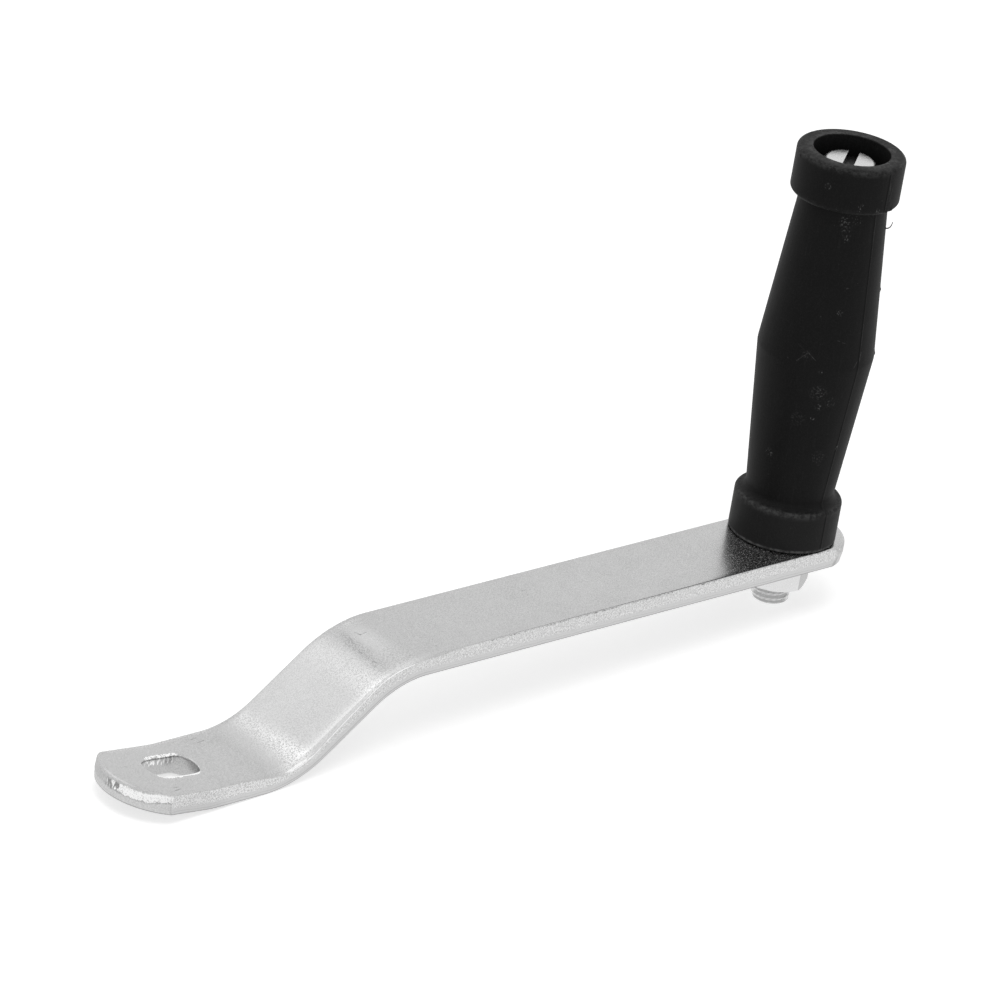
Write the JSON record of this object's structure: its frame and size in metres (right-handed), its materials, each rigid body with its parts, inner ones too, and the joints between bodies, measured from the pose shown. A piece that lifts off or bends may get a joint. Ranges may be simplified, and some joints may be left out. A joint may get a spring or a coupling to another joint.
{
  "type": "crank handle",
  "caption": "Cranked flat steel arm with a double-D drive hole at one end and a free-spinning moulded grip on a shoulder bolt at the other.",
  "frame": {"origin": "centre of the double-D drive hole, halfway through the arm's thickness", "axes": "+X along the arm from the drive hole to the grip, +Z parallel to the grip's axis, up towards the bolt's slotted head"},
  "size_m": [0.2785, 0.0352, 0.1578],
  "materials": {
    "arm_steel": "zinc-plated hot-rolled bar, dull, with bright sheared ends",
    "grip_plastic": "black, moulded, fine matt, with a parting line",
    "bolt_steel": "turned and zinc-plated",
    "nut_steel": "zinc-plated"
  },
  "bodies": {
    "arm": {"crank_arm": "arm_steel", "grip_bolt": "bolt_steel", "grip_nut": "nut_steel"},
    "grip": {"grip": "grip_plastic"}
  },
  "joints": [
    {"name": "grip_spin", "type": "hinge", "parent": "arm", "child": "grip", "pos_m": [0.2363, 0, 0.09124], "axis": [0, 0, 1], "continuous": true}
  ]
}
